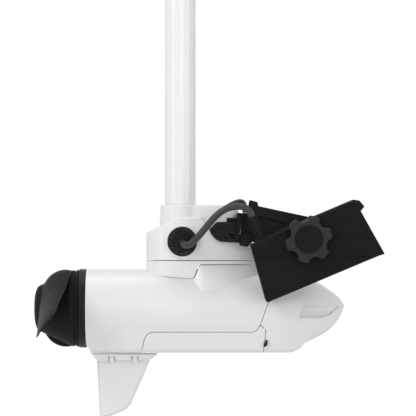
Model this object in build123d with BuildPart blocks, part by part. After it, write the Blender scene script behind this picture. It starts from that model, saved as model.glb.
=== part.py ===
"""Lower unit of a bow-mount electric trolling motor with a live-sonar transducer on its pod.

The shaft stands along +Z. The motor lies along X with its nose towards +X and its propeller towards -X.
The transducer hangs beside the motor on the -Y side. The origin is on the shaft's axis where the shaft
leaves the pod.
"""

import math
import os

from build123d import *

os.makedirs("parts", exist_ok=True)

# ---------------------------------------------------------------- driving dimensions, millimetres
SHAFT_R = 16.7
SHAFT_BORE_R = 13.7
SHAFT_TOP = 260.0
SHAFT_SEAT = -50.0
SHAFT_SEAT_R = 16.5
HEAD_BOLT_Z = 250.0
HEAD_BOLT_R = 3.2

AXIS_Z = -111.0
BARREL_R = 42.0
BARREL_BORE_R = 33.5
LINER_R = 38.4
HOUSING_REAR = -100.0
JOINT_GAP = 0.6
PARTING_GAP = 0.8

POD_TOP_Z = -0.5
POD_SPLIT_Z = -59.1
POD_HALF_WIDTH = 28.0
COLUMN_R = 21.4
GLAND_X, GLAND_Z = 2.4, -39.3
GLAND_FACE_Y = -32.0
GLAND_NUT_R = 15.6

KEEL_TOP_Z = -135.4
KEEL_BOTTOM_Z = -157.5
KEEL_FOOT = 29.0
KEEL_CORNER = 9.0
SKEG_TOP_Z = -159.4

DRIVE_R = 6.0
RUN = 0.05
BEARING_R = 16.0
BEARING_WIDTH = 10.0
REAR_BEARING_X = -99.0
FRONT_BEARING_X = 54.0
BALL_PITCH_R = 11.0
BALL_R = 1.75
BALL_COUNT = 8

HUB_FRONT_X = -108.5
BLADE_COUNT = 2

HEAD_TILT = 22.8
HEAD_FAR_Y = -45.0
HEAD_SPLIT_Y = -70.0
HEAD_NEAR_Y = -93.0
HEAD_X, HEAD_Z = 90.3, -102.4
HEAD_WALL = 3.0
KNOB_X, KNOB_Z = 133.8, -36.1
KNOB_BACK_Y = -96.2
KNOB_FACE_Y = -110.0
KNOB_R = 24.6
KNOB_BOLT_R = 4.0
ARM_FAR_Y, ARM_NEAR_Y = -37.0, -42.6

LEAD_R = 3.6
GUIDE_LEAD_R = 2.5

# ---------------------------------------------------------------- helpers
MOTOR_AXIS = Axis((0, 0, AXIS_Z), (1, 0, 0))
BOTTOM = (Align.CENTER, Align.CENTER, Align.MIN)


def across(x: float) -> Plane:
    """A plane square to the motor's axis at x, with its origin on that axis."""
    return Plane(origin=(x, 0, AXIS_Z), x_dir=(0, 1, 0), z_dir=(1, 0, 0))


def side(y: float) -> Plane:
    """A side-view plane at y that keeps X and Z as its own coordinates and faces -Y."""
    return Plane.XZ.offset(-y)


def head_plane(y: float) -> Plane:
    """The transducer's own plane: u runs along its base, v away from it."""
    tilt = math.radians(HEAD_TILT)
    return Plane(origin=(HEAD_X, y, HEAD_Z), x_dir=(math.cos(tilt), 0, math.sin(tilt)), z_dir=(0, -1, 0))


def save(piece: BuildPart, name: str) -> None:
    """Label a finished piece and write it as its own STEP file."""
    piece.part.label = name
    export_step(piece.part, f"parts/{name}.step")


def tube_piece(name: str, x: float, length: float, outer: float, inner: float) -> None:
    """A plain ring or bar about the motor's axis."""
    with BuildPart() as piece:
        with BuildSketch(across(x)):
            Circle(outer)
            if inner > 0:
                Circle(inner, mode=Mode.SUBTRACT)
        extrude(amount=length)
    save(piece, name)


# ---------------------------------------------------------------- shaft
with BuildPart() as shaft_tube:  # the gripped length, and a slightly thinner seat inside the pod
    with BuildSketch(Plane.XY):
        Circle(SHAFT_R)
    extrude(amount=SHAFT_TOP)
    with BuildSketch(Plane.XY):
        Circle(SHAFT_SEAT_R)
    extrude(amount=SHAFT_SEAT)
    with BuildSketch(Plane.XY.offset(SHAFT_SEAT)):
        Circle(SHAFT_BORE_R)
    extrude(amount=SHAFT_TOP - SHAFT_SEAT, mode=Mode.SUBTRACT)
    chamfer(shaft_tube.faces().sort_by(Axis.Z)[-1].edges(), 0.6)
    with BuildSketch(side(SHAFT_R + 1)):
        with Locations((0, HEAD_BOLT_Z)):
            Circle(HEAD_BOLT_R)
    extrude(amount=2 * SHAFT_R + 2, mode=Mode.SUBTRACT)
    with BuildSketch(side(0)):  # the lead's way into the shaft, behind the gland
        with Locations((GLAND_X, GLAND_Z)):
            Circle(6)
    extrude(amount=SHAFT_R + 1, mode=Mode.SUBTRACT)
save(shaft_tube, "shaft_tube")

with BuildPart() as shaft_harness:
    with BuildSketch(Plane.XY.offset(-29)):
        Circle(4)
    extrude(amount=250)
save(shaft_harness, "shaft_harness")

with BuildPart() as harness_connector:
    with BuildSketch(Plane.XY.offset(221)):
        Circle(9)
    extrude(amount=18)
    fillet(harness_connector.faces().sort_by(Axis.Z)[0].edges(), 1.5)
    with BuildSketch(Plane.XY.offset(239)):
        Circle(7.4)
    extrude(amount=-5, mode=Mode.SUBTRACT)
    with BuildSketch(Plane.XY.offset(234)):
        with PolarLocations(4, 5):
            Circle(0.8)
    extrude(amount=4)
save(harness_connector, "harness_connector")

with BuildPart() as harness_bung:
    with BuildSketch(Plane.XY.offset(190)):
        Circle(SHAFT_BORE_R - 0.02)
        Circle(4.02, mode=Mode.SUBTRACT)
    extrude(amount=12)
    chamfer(harness_bung.faces().sort_by(Axis.Z)[-1].edges().sort_by(SortBy.RADIUS)[-1], 1.5)
save(harness_bung, "harness_bung")

# ---------------------------------------------------------------- screws of the skeg and the pod
BOSS_X = (-73.1, -48.3)
with BuildPart() as skeg_screws:
    for x in BOSS_X:
        with BuildSketch(Plane.XY.offset(-154.0)):
            with Locations((x, 9.0), (x, -9.0)):
                Circle(1.7)
        extrude(amount=-9.0)
        with BuildSketch(Plane.XY.offset(-162.0)):
            with Locations((x, 9.0), (x, -9.0)):
                Circle(2.9)
        extrude(amount=-7.0)
save(skeg_screws, "skeg_screws")

with BuildPart() as pod_screws:
    with BuildSketch(Plane.XY.offset(-63.3)):
        with Locations((-25, 9), (-25, -9), (70, 10), (70, -10)):
            Circle(3.4)
    extrude(amount=3.0)
    with BuildSketch(Plane.XY.offset(-61.0)):
        with Locations((-25, 9), (-25, -9), (70, 10), (70, -10)):
            Circle(1.9)
    extrude(amount=16.0)
save(pod_screws, "pod_screws")

LATCH_OUTLINE = [
    (90.6, -143.2),
    (93.0, -144.2),
    (92.2, -149.4),
    (88.7, -151.4),
    (88.7, -147.8),
    (90.2, -146.4),
]
with BuildPart() as keel_latch:
    with BuildSketch(side(-24)):
        Polygon(*LATCH_OUTLINE, align=None)
    extrude(amount=8.2)
    mirror(about=Plane.XZ)
save(keel_latch, "keel_latch")

# ---------------------------------------------------------------- pod around the shaft's foot
# The pod's plan outline: a round heel, nearly straight flanks and a round toe.
with BuildSketch(Plane.XY) as pod_plan:
    with BuildLine():
        Spline((-36.4, 0), (-27.5, -19), (4, -POD_HALF_WIDTH), tangents=((0, -1), (1, 0)))
        Spline((4, -POD_HALF_WIDTH), (56, -24.5), (88, 0), tangents=((1, 0), (0, 1)))
        mirror(about=Plane.XZ)
    make_face()

with BuildPart() as pod_body:
    with BuildSketch(side(40)):
        with BuildLine():
            FilletPolyline(
                (-50.0, -36.9),
                (-1.6, -12.9),
                (22.6, -12.9),
                (28.0, -20.0),
                (100.0, -50.0),
                radius=(8.0, 4.0, 8.0),
            )
            Polyline((100.0, -50.0), (100.0, POD_SPLIT_Z), (-50.0, POD_SPLIT_Z), (-50.0, -36.9))
        make_face()
    extrude(amount=80)
    with BuildSketch(Plane.XY.offset(-80)):
        add(pod_plan.sketch)
    extrude(amount=90, mode=Mode.INTERSECT)
    rim = pod_body.edges().filter_by(lambda edge: edge.center().Z > POD_SPLIT_Z + 2)
    fillet(rim.filter_by(lambda edge: edge.geom_type != GeomType.LINE), 2.4)

with BuildPart() as pod_column:
    with BuildSketch(Plane.XY.offset(POD_TOP_Z)) as column_plan:
        Circle(COLUMN_R)
        with Locations((31, 0)):
            Rectangle(62, 34)
        fillet(column_plan.vertices().sort_by(Axis.X)[-2:], 9)
        fillet(column_plan.vertices().filter_by_position(Axis.X, 5, 25), 12)
    extrude(amount=POD_SPLIT_Z - POD_TOP_Z, taper=-2.0)
    fillet(pod_column.faces().sort_by(Axis.Z)[-1].edges(), 1.8)

with BuildPart() as pod_upper_shell:
    add(pod_column.part)
    add(pod_body.part)
    with BuildSketch(side(-20)):
        with Locations((GLAND_X, GLAND_Z)):
            Circle(18.2)
    extrude(amount=-GLAND_FACE_Y - 20)
    fillet(pod_upper_shell.faces().sort_by(Axis.Y)[0].edges(), 1.6)
    with BuildSketch(side(GLAND_FACE_Y)):
        with Locations((GLAND_X, GLAND_Z)):
            Circle(GLAND_NUT_R + 0.2)
    extrude(amount=-9, mode=Mode.SUBTRACT)
    with BuildSketch(side(0)):
        with Locations((GLAND_X, GLAND_Z)):
            Circle(6)
    extrude(amount=40, mode=Mode.SUBTRACT)
    with BuildSketch(Plane.XY.offset(SHAFT_SEAT)):
        Circle(SHAFT_SEAT_R + 0.03)
    extrude(amount=60, mode=Mode.SUBTRACT)
    with BuildSketch(Plane.XY.offset(-70)):
        Circle(12)
    extrude(amount=30, mode=Mode.SUBTRACT)
    add(pod_screws.part, mode=Mode.SUBTRACT)
save(pod_upper_shell, "pod_upper_shell")

with BuildPart() as pod_lower_clamp:
    with BuildSketch(side(40)):
        with BuildLine():
            FilletPolyline(
                (-50.0, -73.4),
                (12.0, -78.4),
                (14.9, -76.8),
                (19.2, -65.6),
                (21.6, -63.5),
                (100.0, -63.5),
                radius=(1.2, 1.5, 1.5, 1.5),
            )
            Polyline(
                (100.0, -63.5),
                (100.0, POD_SPLIT_Z - PARTING_GAP),
                (-50.0, POD_SPLIT_Z - PARTING_GAP),
                (-50.0, -73.4),
            )
        make_face()
    extrude(amount=80)
    with BuildSketch(Plane.XY.offset(-90)):
        add(pod_plan.sketch)
    extrude(amount=60, mode=Mode.INTERSECT)
    with BuildSketch(across(-60)):
        Circle(BARREL_R)
    extrude(amount=180, mode=Mode.SUBTRACT)
    with BuildSketch(Plane.XY.offset(-90)):
        Circle(12)
    extrude(amount=40, mode=Mode.SUBTRACT)
    add(pod_screws.part, mode=Mode.SUBTRACT)
save(pod_lower_clamp, "pod_lower_clamp")

with BuildPart() as gland_nut:
    with BuildSketch(side(GLAND_FACE_Y - 2.2)) as nut_face:
        with Locations((GLAND_X, GLAND_Z)):
            Circle(GLAND_NUT_R)
            Circle(12.4, mode=Mode.SUBTRACT)
            with PolarLocations(12.6, 24):
                Circle(0.85, mode=Mode.SUBTRACT)
    extrude(amount=-9)
    fillet(gland_nut.faces().sort_by(Axis.Y)[0].edges().sort_by(SortBy.LENGTH)[-1], 1.2)
save(gland_nut, "gland_nut")

with BuildPart() as gland_seal:
    with BuildSketch(side(GLAND_FACE_Y - 1.2)):
        with Locations((GLAND_X, GLAND_Z)):
            Circle(11.6)
    extrude(amount=-8)
    fillet(gland_seal.faces().sort_by(Axis.Y)[0].edges(), 1.0)
save(gland_seal, "gland_seal")

# ---------------------------------------------------------------- motor housing, keel cover and nose
# Side outlines of the three castings. The cover is a long lid with round upper corners under the barrel.
COVER_OUTLINE = [
    (-42.0, -161),
    (-35.4, KEEL_TOP_Z),
    (80.5, KEEL_TOP_Z),
    (85.0, -127.6),
    (90.8, -133.0),
    (87.4, -161),
]
COVER_RADII = (10.0, 9.0, 1.0, 5.0)
NOSE_OUTLINE = [(210, -52), (112.7, -52), (85.0, -127.6), (90.8, -133.0), (87.4, -161), (210, -161)]
NOSE_RADII = (1.0, 1.0, 4.0, 1.0)
# The nose's round sections: place along X, radius and how far each one's centre lies above the motor's axis.
NOSE_STATIONS = [
    (60.0, 42.0, 0.0),
    (78.0, 42.0, 0.0),
    (88.0, 41.9, 0.0),
    (98.0, 41.6, 0.0),
    (117.0, 39.6, -0.4),
    (133.0, 35.7, -1.0),
    (148.9, 28.1, -1.4),
    (160.4, 20.4, -1.2),
    (168.4, 12.6, 0.2),
    (173.0, 5.4, 1.8),
    (174.9, 1.2, 2.8),
]


def keel_section(x: float, radius: float, rise: float, foot: float) -> Sketch:
    """The keel's section square to the motor: walls that leave the barrel smoothly and a flat foot.

    radius and rise are the barrel's there, and foot is half the width of the keel's underside.
    """
    corner = min(KEEL_CORNER, 0.5 * foot)
    middle_z = AXIS_Z + rise
    corner_y, corner_z = foot - corner, KEEL_BOTTOM_Z + corner
    apart = math.hypot(corner_y, corner_z - middle_z)
    leave = math.atan2(corner_z - middle_z, corner_y) + math.acos((radius - corner) / apart)
    top_y, top_z = radius * math.cos(leave), middle_z + radius * math.sin(leave)
    foot_y = top_y + (top_z - KEEL_BOTTOM_Z) * math.tan(leave)
    with BuildSketch(Plane.YZ.offset(x)) as section:
        with BuildLine():
            FilletPolyline(
                (-top_y, top_z),
                (-foot_y, KEEL_BOTTOM_Z),
                (foot_y, KEEL_BOTTOM_Z),
                (top_y, top_z),
                radius=corner,
            )
            Line((top_y, top_z), (-top_y, top_z))
        make_face()
    return section.sketch


def side_region(points: list, radii: tuple, grow: float = 0.0, depth: float = 60) -> Part:
    """A prism across the motor with a side outline whose inner corners are rounded."""
    with BuildPart(mode=Mode.PRIVATE) as region:
        with BuildSketch(side(depth)) as outline:
            with BuildLine():
                FilletPolyline(*points, radius=radii)
                Line(points[-1], points[0])
            make_face()
            if grow:
                offset(amount=grow, kind=Kind.INTERSECTION)
        extrude(amount=2 * depth)
    return region.part


# The clamp's lower edge, as the pedestal meets it.
CLAMP_EDGE = [
    (-20, -50),
    (-20, -79.8),
    (12.4, -79.8),
    (15.9, -77.2),
    (20.2, -66.2),
    (22.2, -64.4),
    (110, -64.4),
    (110, -50),
]
clamp_room = side_region(CLAMP_EDGE, (0.5, 0.5, 1.5, 1.5, 1.5, 0.5))
cover_region = side_region(COVER_OUTLINE, COVER_RADII)
cover_room = side_region(COVER_OUTLINE, COVER_RADII, grow=JOINT_GAP)
nose_region = side_region(NOSE_OUTLINE, NOSE_RADII)
nose_room = side_region(NOSE_OUTLINE, NOSE_RADII, grow=JOINT_GAP)

with BuildPart() as pedestal:  # under the pod, flaring into the barrel
    with BuildSketch(Plane.XY.offset(-63.9)):
        with BuildLine():
            Spline((12.0, 0), (16.0, -24.0), (30, -27.2), tangents=((0, -1), (1, 0.06)))
            Spline((30, -27.2), (60, -23.5), (88, 0), tangents=((1, 0.03), (0, 1)))
            mirror(about=Plane.XZ)
        make_face()
    with BuildSketch(Plane.XY.offset(-93)):
        with BuildLine():
            Spline((6.0, 0), (12.0, -32.0), (32, -38.6), tangents=((0, -1), (1, 0.06)))
            Spline((32, -38.6), (66, -33.0), (99, 0), tangents=((1, 0.03), (0, 1)))
            mirror(about=Plane.XZ)
        make_face()
    loft()
    add(clamp_room, mode=Mode.SUBTRACT)

with BuildPart() as cover_seat:  # what the housing leaves open for the cover
    add(cover_room)
    with BuildSketch(across(-80)):
        Circle(LINER_R)
    extrude(amount=162, mode=Mode.SUBTRACT)

# The keel's walls start just inside the barrel's skin, so that the two surfaces cross cleanly.
KEEL_ROOT_R = BARREL_R - 0.4
keel_heel = loft([keel_section(-99, KEEL_ROOT_R, 0, 14.0), keel_section(-60, KEEL_ROOT_R, 0, KEEL_FOOT)])
keel_bar = extrude(keel_section(-60, KEEL_ROOT_R, 0, KEEL_FOOT), amount=160)

with BuildPart() as motor_housing:
    with BuildSketch(across(HOUSING_REAR)):
        Circle(BARREL_R)
    extrude(amount=215)
    add(pedestal.part)
    add(keel_heel)
    add(keel_bar)
    with BuildSketch(Plane.YZ.offset(-97)):  # the skeg's pad under the rear of the barrel
        Polygon((-17, AXIS_Z - 36), (-11, SKEG_TOP_Z), (11, SKEG_TOP_Z), (17, AXIS_Z - 36), align=None)
    extrude(amount=60)
    with BuildSketch(side(60)):  # the pad's rear end leans forward
        Polygon((-101, -150), (-98.6, -150), (-93.8, -161), (-101, -161), align=None)
    extrude(amount=120, mode=Mode.SUBTRACT)
    add(cover_seat.part, mode=Mode.SUBTRACT)
    add(nose_room, mode=Mode.SUBTRACT)
    with BuildSketch(across(HOUSING_REAR)):
        Circle(BARREL_BORE_R)
    extrude(amount=230, mode=Mode.SUBTRACT)
    with BuildSketch(Plane.XY.offset(-80)):  # wiring passage up into the pod
        Circle(9)
    extrude(amount=30, mode=Mode.SUBTRACT)
    add(skeg_screws.part, mode=Mode.SUBTRACT)
save(motor_housing, "motor_housing")

with BuildPart() as keel_cover:
    with BuildSketch(across(-60)):
        Circle(BARREL_R)
    extrude(amount=160)
    add(keel_bar)
    with BuildSketch(across(-60)):
        Circle(LINER_R + 0.1)
    extrude(amount=160, mode=Mode.SUBTRACT)
    add(cover_region, mode=Mode.INTERSECT)
    add(keel_latch.part, mode=Mode.SUBTRACT)
save(keel_cover, "keel_cover")

# The keel's front end narrows with the nose: place, the nose's radius and rise there, half its foot.
NOSE_KEEL_STATIONS = [
    (80.0, 42.0, 0.0, KEEL_FOOT),
    (98.0, 41.6, 0.0, 28.0),
    (117.0, 39.6, -0.4, 23.5),
    (128.0, 37.2, -0.8, 18.0),
    (140.0, 32.8, -1.2, 11.0),
]
nose_keel_bar = loft([keel_section(*station) for station in NOSE_KEEL_STATIONS])

with BuildPart() as nose_keel:  # the keel's front end, stepped in side view
    add(nose_keel_bar)
    with BuildSketch(side(60)):
        with BuildLine():
            FilletPolyline(
                (117.0, -162),
                (118.6, KEEL_BOTTOM_Z),
                (127.5, -153.6),
                (133.5, -146.5),
                (140, -140),
                radius=(1.0, 6.0, 3.0),
            )
            Polyline((140, -140), (140, -162), (117, -162))
        make_face()
    extrude(amount=120, mode=Mode.SUBTRACT)

SCOOP_Z = -110.6
SCOOP_LEAN = math.radians(17.9)
# The scoop's sections from its rear wall forward: their corners as reach from the middle and height
# above the scoop's own line. Each starts past the nose's flank.
SCOOP_REAR = [(60, 10.1), (30.5, 10.1), (24.5, 2.4), (22.0, 1.2), (25.0, -10.1), (60, -10.1)]
SCOOP_MIDDLE = [(60, 6.9), (25.0, 6.9), (21.0, 2.3), (19.2, 1.3), (21.0, -9.8), (60, -9.8)]
SCOOP_NEAR_FRONT = [(60, 4.6), (19.0, 4.6), (17.4, 2.2), (16.6, 1.3), (17.6, -6.4), (60, -6.4)]
SCOOP_FRONT = [(60, 2.6), (12.0, 2.6), (11.6, 2.0), (11.4, 1.4), (11.6, 0.6), (60, 0.6)]


def scoop_plane(x: float, lean: float = 0.0) -> Plane:
    """A plane across the nose at the scoop's height, leaning forward at its foot by an angle."""
    return Plane(origin=(x, 0, SCOOP_Z), x_dir=(0, 1, 0), z_dir=(math.cos(lean), 0, -math.sin(lean)))


with BuildPart() as nose_cone:
    for x, radius, rise in NOSE_STATIONS:
        with BuildSketch(Plane(origin=(x, 0, AXIS_Z + rise), x_dir=(0, 1, 0), z_dir=(1, 0, 0))):
            Circle(radius)
    loft()
    add(nose_keel.part)
    add(nose_region, mode=Mode.INTERSECT)
    add(cover_room, mode=Mode.SUBTRACT)
    with BuildSketch(across(60)):
        Circle(BARREL_R - 6)
    extrude(amount=52, mode=Mode.SUBTRACT)
    for hand in (-1, 1):  # a scoop on each side that deepens towards its rear wall
        with BuildSketch(scoop_plane(128.9, SCOOP_LEAN)):
            Polygon(*[(hand * reach, height) for reach, height in SCOOP_REAR], align=None)
        with BuildSketch(scoop_plane(150.0)):
            Polygon(*[(hand * reach, height) for reach, height in SCOOP_MIDDLE], align=None)
        with BuildSketch(scoop_plane(159.5)):
            Polygon(*[(hand * reach, height) for reach, height in SCOOP_NEAR_FRONT], align=None)
        with BuildSketch(scoop_plane(168.0)):
            Polygon(*[(hand * reach, height) for reach, height in SCOOP_FRONT], align=None)
        loft(ruled=True, mode=Mode.SUBTRACT)
    add(keel_latch.part, mode=Mode.SUBTRACT)
save(nose_cone, "nose_cone")

# ---------------------------------------------------------------- inside the motor
with BuildPart() as rear_end_bell:
    with BuildSketch(across(-107.9)):
        Circle(BARREL_R)
        Circle(11.05, mode=Mode.SUBTRACT)
    extrude(amount=7.9)
    fillet(rear_end_bell.edges().filter_by_position(Axis.X, -108, -107.8).sort_by(SortBy.RADIUS)[-1], 0.8)
    with BuildSketch(across(-100.0)):
        Circle(BARREL_BORE_R - 0.02)
        Circle(BARREL_BORE_R - 3.0, mode=Mode.SUBTRACT)
        Circle(20.5)
        Circle(BEARING_R, mode=Mode.SUBTRACT)
    extrude(amount=9)
    with BuildSketch(across(REAR_BEARING_X)):
        Circle(BEARING_R)
    extrude(amount=12, mode=Mode.SUBTRACT)
save(rear_end_bell, "rear_end_bell")

tube_piece("shaft_seal", -107.4, 6.0, 11.0, DRIVE_R + RUN)
tube_piece("rear_o_ring", -97.0, 2.0, BARREL_BORE_R - 3.05, BARREL_BORE_R - 5.0)


def bearing(name: str, x: float) -> None:
    """A ball bearing as three nodes: the outer race, the balls and the inner race."""
    tube_piece(f"{name}_outer_race", x, BEARING_WIDTH, BEARING_R - 0.01, BALL_PITCH_R + BALL_R + RUN)
    tube_piece(f"{name}_inner_race", x, BEARING_WIDTH, BALL_PITCH_R - BALL_R - RUN, DRIVE_R)
    with BuildPart() as balls:
        with Locations(across(x + BEARING_WIDTH / 2)):
            with PolarLocations(BALL_PITCH_R, BALL_COUNT):
                Sphere(BALL_R)
    save(balls, f"{name}_balls")


bearing("rear_bearing", REAR_BEARING_X)
bearing("front_bearing", FRONT_BEARING_X)

with BuildPart() as front_bearing_plate:
    with BuildSketch(across(FRONT_BEARING_X - 1)):
        Circle(BARREL_BORE_R - 0.02)
        Circle(BEARING_R, mode=Mode.SUBTRACT)
    extrude(amount=BEARING_WIDTH + 3)
    with BuildSketch(across(FRONT_BEARING_X - 1)):
        with PolarLocations(25, 6):
            Circle(4)
    extrude(amount=BEARING_WIDTH + 3, mode=Mode.SUBTRACT)
save(front_bearing_plate, "front_bearing_plate")

SLOTS = 12
STACK_X, STACK_LENGTH = -60.0, 80.0
with BuildPart() as stator_core:
    with BuildSketch(across(STACK_X)):
        Circle(BARREL_BORE_R - 0.02)
        Circle(21.0, mode=Mode.SUBTRACT)
        with PolarLocations(25.5, SLOTS):
            Rectangle(7.0, 8.2, mode=Mode.SUBTRACT)
    extrude(amount=STACK_LENGTH)
save(stator_core, "stator_core")

with BuildPart() as stator_windings:
    with BuildSketch(across(STACK_X - 8)):
        with PolarLocations(25.5, SLOTS):
            Rectangle(6.6, 7.8)
    extrude(amount=STACK_LENGTH + 16)
    for x in (STACK_X - 10, STACK_X + STACK_LENGTH + 2):
        with BuildSketch(across(x)):
            Circle(30.0)
            Circle(21.8, mode=Mode.SUBTRACT)
        extrude(amount=8)
save(stator_windings, "stator_windings")

with BuildPart() as rotor_core:
    with BuildSketch(across(STACK_X + 2)):
        RegularPolygon(19.0, 8, major_radius=False)
        Circle(DRIVE_R, mode=Mode.SUBTRACT)
        with PolarLocations(12.5, 8):
            Circle(2.6, mode=Mode.SUBTRACT)
    extrude(amount=STACK_LENGTH - 4)
save(rotor_core, "rotor_core")

with BuildPart() as rotor_magnets:
    with BuildSketch(across(STACK_X + 3)):
        Circle(20.5)
        RegularPolygon(19.02, 8, major_radius=False, mode=Mode.SUBTRACT)
    extrude(amount=STACK_LENGTH - 6)
save(rotor_magnets, "rotor_magnets")

with BuildPart() as drive_shaft:
    with BuildSketch(across(-146.0)):
        Circle(DRIVE_R)
    extrude(amount=146.0 + FRONT_BEARING_X + BEARING_WIDTH + 2)
    chamfer(drive_shaft.faces().sort_by(Axis.X)[0].edges(), 0.8)
    with BuildSketch(Plane.XY.offset(AXIS_Z)):
        with Locations((-122, 0)):
            Circle(2.02)
    extrude(amount=10, both=True, mode=Mode.SUBTRACT)
save(drive_shaft, "drive_shaft")

with BuildPart() as drive_pin:
    with BuildSketch(Plane.XY.offset(AXIS_Z)):
        with Locations((-122, 0)):
            Circle(2.0)
    extrude(amount=10.5, both=True)
save(drive_pin, "drive_pin")

with BuildPart() as control_board:
    with BuildSketch(Plane.YZ.offset(70)):
        with Locations((0, AXIS_Z)):
            Circle(27)
            Circle(5, mode=Mode.SUBTRACT)
    extrude(amount=1.6)
    with BuildSketch(Plane.YZ.offset(71.6)):
        with Locations((0, AXIS_Z)):
            with PolarLocations(16, 6):
                Rectangle(9, 6)
    extrude(amount=4)
save(control_board, "control_board")

with BuildPart() as nose_sonar_element:
    with BuildSketch(Plane.XY.offset(-145.2)):
        with Locations((96, 0)):
            Circle(11)
    extrude(amount=6)
save(nose_sonar_element, "nose_sonar_element")

# ---------------------------------------------------------------- propeller
# Each blade section seen along its own radius: how far out it is, its leading and trailing corners
# as X and height above the motor's axis, how far it bulges and how thick it is.
BLADE_STATIONS = [
    (6, (-114.6, 39.6), (-150.0, -8.0), 13.0, 8.0),
    (22, (-115.6, 37.8), (-149.6, -11.0), 12.4, 6.6),
    (45, (-118.0, 28.8), (-149.2, -15.5), 9.6, 5.2),
    (75, (-121.6, 17.4), (-148.4, -19.5), 6.6, 4.2),
    (110, (-125.4, 6.0), (-146.9, -22.8), 4.0, 3.2),
    (136, (-128.7, -3.6), (-145.3, -25.2), 2.2, 2.2),
    (141, (-131.6, -7.8), (-143.6, -23.4), 1.4, 1.2),
]
# Where a section's back stands out and by what share of its bulge: it is fullest near the leading edge.
BACK_SHAPE = [(0.07, 0.50), (0.28, 0.96), (0.62, 0.84)]


def blade_section(reach: float, lead: tuple, trail: tuple, bulge: float, thick: float) -> Sketch:
    """One cambered section of the near blade, square to the blade's length."""
    (x0, z0), (x1, z1) = lead, trail
    chord = math.hypot(x1 - x0, z1 - z0)
    normal_x, normal_z = (z1 - z0) / chord, -(x1 - x0) / chord

    def along(share: float, off: float) -> tuple:
        return (
            x0 + share * (x1 - x0) + normal_x * off,
            AXIS_Z + z0 + share * (z1 - z0) + normal_z * off,
        )

    back = [along(share, part * (bulge + thick / 2)) for share, part in BACK_SHAPE]
    face = [along(share, part * (bulge - thick / 2)) for share, part in reversed(BACK_SHAPE)]
    with BuildSketch(side(-reach)) as section:
        with BuildLine():
            Spline(along(0, 0), *back, along(1, 0))
            Spline(along(1, 0), *face, along(0, 0))
        make_face()
    return section.sketch


blade = loft([blade_section(*station) for station in BLADE_STATIONS])

with BuildPart() as propeller:
    with BuildSketch(Plane.XZ):
        with BuildLine():
            Polyline(
                (HUB_FRONT_X, AXIS_Z),
                (HUB_FRONT_X, AXIS_Z + 40.9),
                (-110.9, AXIS_Z + 40.9),
                (-111.3, AXIS_Z + 39.7),
                (-112.3, AXIS_Z + 39.7),
                (-112.7, AXIS_Z + 40.5),
                (-117.4, AXIS_Z + 40.5),
                (-118.4, AXIS_Z + 39.4),
                (-150.2, AXIS_Z + 24.4),
            )
            Spline(
                (-150.2, AXIS_Z + 24.4),
                (-154.0, AXIS_Z + 19.4),
                (-155.8, AXIS_Z + 9.0),
                tangents=((-2.2, -1.05), (-0.05, -1)),
            )
            Polyline((-155.8, AXIS_Z + 9.0), (-155.8, AXIS_Z), (HUB_FRONT_X, AXIS_Z))
        make_face()
    revolve(axis=MOTOR_AXIS)
    add(blade)
    add(blade.rotate(MOTOR_AXIS, 360 / BLADE_COUNT))
    with BuildSketch(across(HUB_FRONT_X)):
        Circle(35.5)
        Circle(14.0, mode=Mode.SUBTRACT)
    extrude(amount=-13, mode=Mode.SUBTRACT)
    with BuildSketch(across(HUB_FRONT_X - 13)):
        Circle(33.0)
        Circle(14.0, mode=Mode.SUBTRACT)
    with BuildSketch(across(-144)):
        Circle(22.0)
        Circle(14.0, mode=Mode.SUBTRACT)
    loft(mode=Mode.SUBTRACT)
    with BuildSketch(across(HUB_FRONT_X + 1)):
        Circle(DRIVE_R + 0.02)
    extrude(amount=-60, mode=Mode.SUBTRACT)
    with BuildSketch(across(-156.5)):
        Circle(9.0)
    extrude(amount=13, mode=Mode.SUBTRACT)
    with BuildSketch(Plane.YZ.offset(HUB_FRONT_X)):  # the drive pin's slot
        with Locations((0, AXIS_Z)):
            Rectangle(4.2, 21.4)
    extrude(amount=-15.6, mode=Mode.SUBTRACT)
save(propeller, "propeller")

tube_piece("prop_washer", -143.5, -1.4, 8.8, DRIVE_R + 0.02)
with BuildPart() as prop_nut:
    with BuildSketch(across(-144.9)):
        RegularPolygon(8.6, 6)
    extrude(amount=-9.5)
    with BuildSketch(across(-144.0)):
        Circle(DRIVE_R + 0.02)
    extrude(amount=-3.0, mode=Mode.SUBTRACT)
    fillet(prop_nut.faces().sort_by(Axis.X)[0].edges(), 0.8)
save(prop_nut, "prop_nut")
tube_piece("hub_anode", -118.0, 6.0, 19.0, 14.02)

SKEG_FLANGE = [
    (-93.8, -159.6),
    (-26.6, -159.6),
    (-24.6, -158.2),
    (-25.0, -160.6),
    (-31.6, -165.2),
    (-88.6, -166.6),
    (-93.8, -160.4),
]
SKEG_BLADE = [
    (-89.4, -162.0),
    (-86.0, -229.3),
    (-74.8, -226.3),
    (-58.4, -219.6),
    (-52.8, -213.5),
    (-30.2, -162.0),
]
SKEG_THICKNESS = 7.0
SKEG_BEVEL, SKEG_BEVEL_DEPTH = 3.0, 2.4
with BuildPart() as skeg:  # a flange, with a blade under it whose border is bevelled on both faces
    with BuildSketch(side(SKEG_THICKNESS / 2)) as blade_outline:
        Polygon(*SKEG_BLADE, align=None)
        fillet(blade_outline.vertices().filter_by_position(Axis.Y, -220, -210), 6.0)
    extrude(amount=SKEG_THICKNESS)
    for face in skeg.faces().filter_by(Axis.Y):
        border = face.edges().filter_by(lambda edge: edge.center().Z < -163)
        chamfer(border, length=SKEG_BEVEL_DEPTH, length2=SKEG_BEVEL, reference=face)
    with BuildSketch(side(13)):
        Polygon(*SKEG_FLANGE, align=None)
    extrude(amount=26)
    for x in BOSS_X:  # open slots round the screws
        with BuildSketch(Plane.XY.offset(-170.0)):
            with Locations((x, 11.0), (x, -11.0)):
                Rectangle(8.0, 6.0)
        extrude(amount=8.0, mode=Mode.SUBTRACT)
    add(skeg_screws.part, mode=Mode.SUBTRACT)
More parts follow.
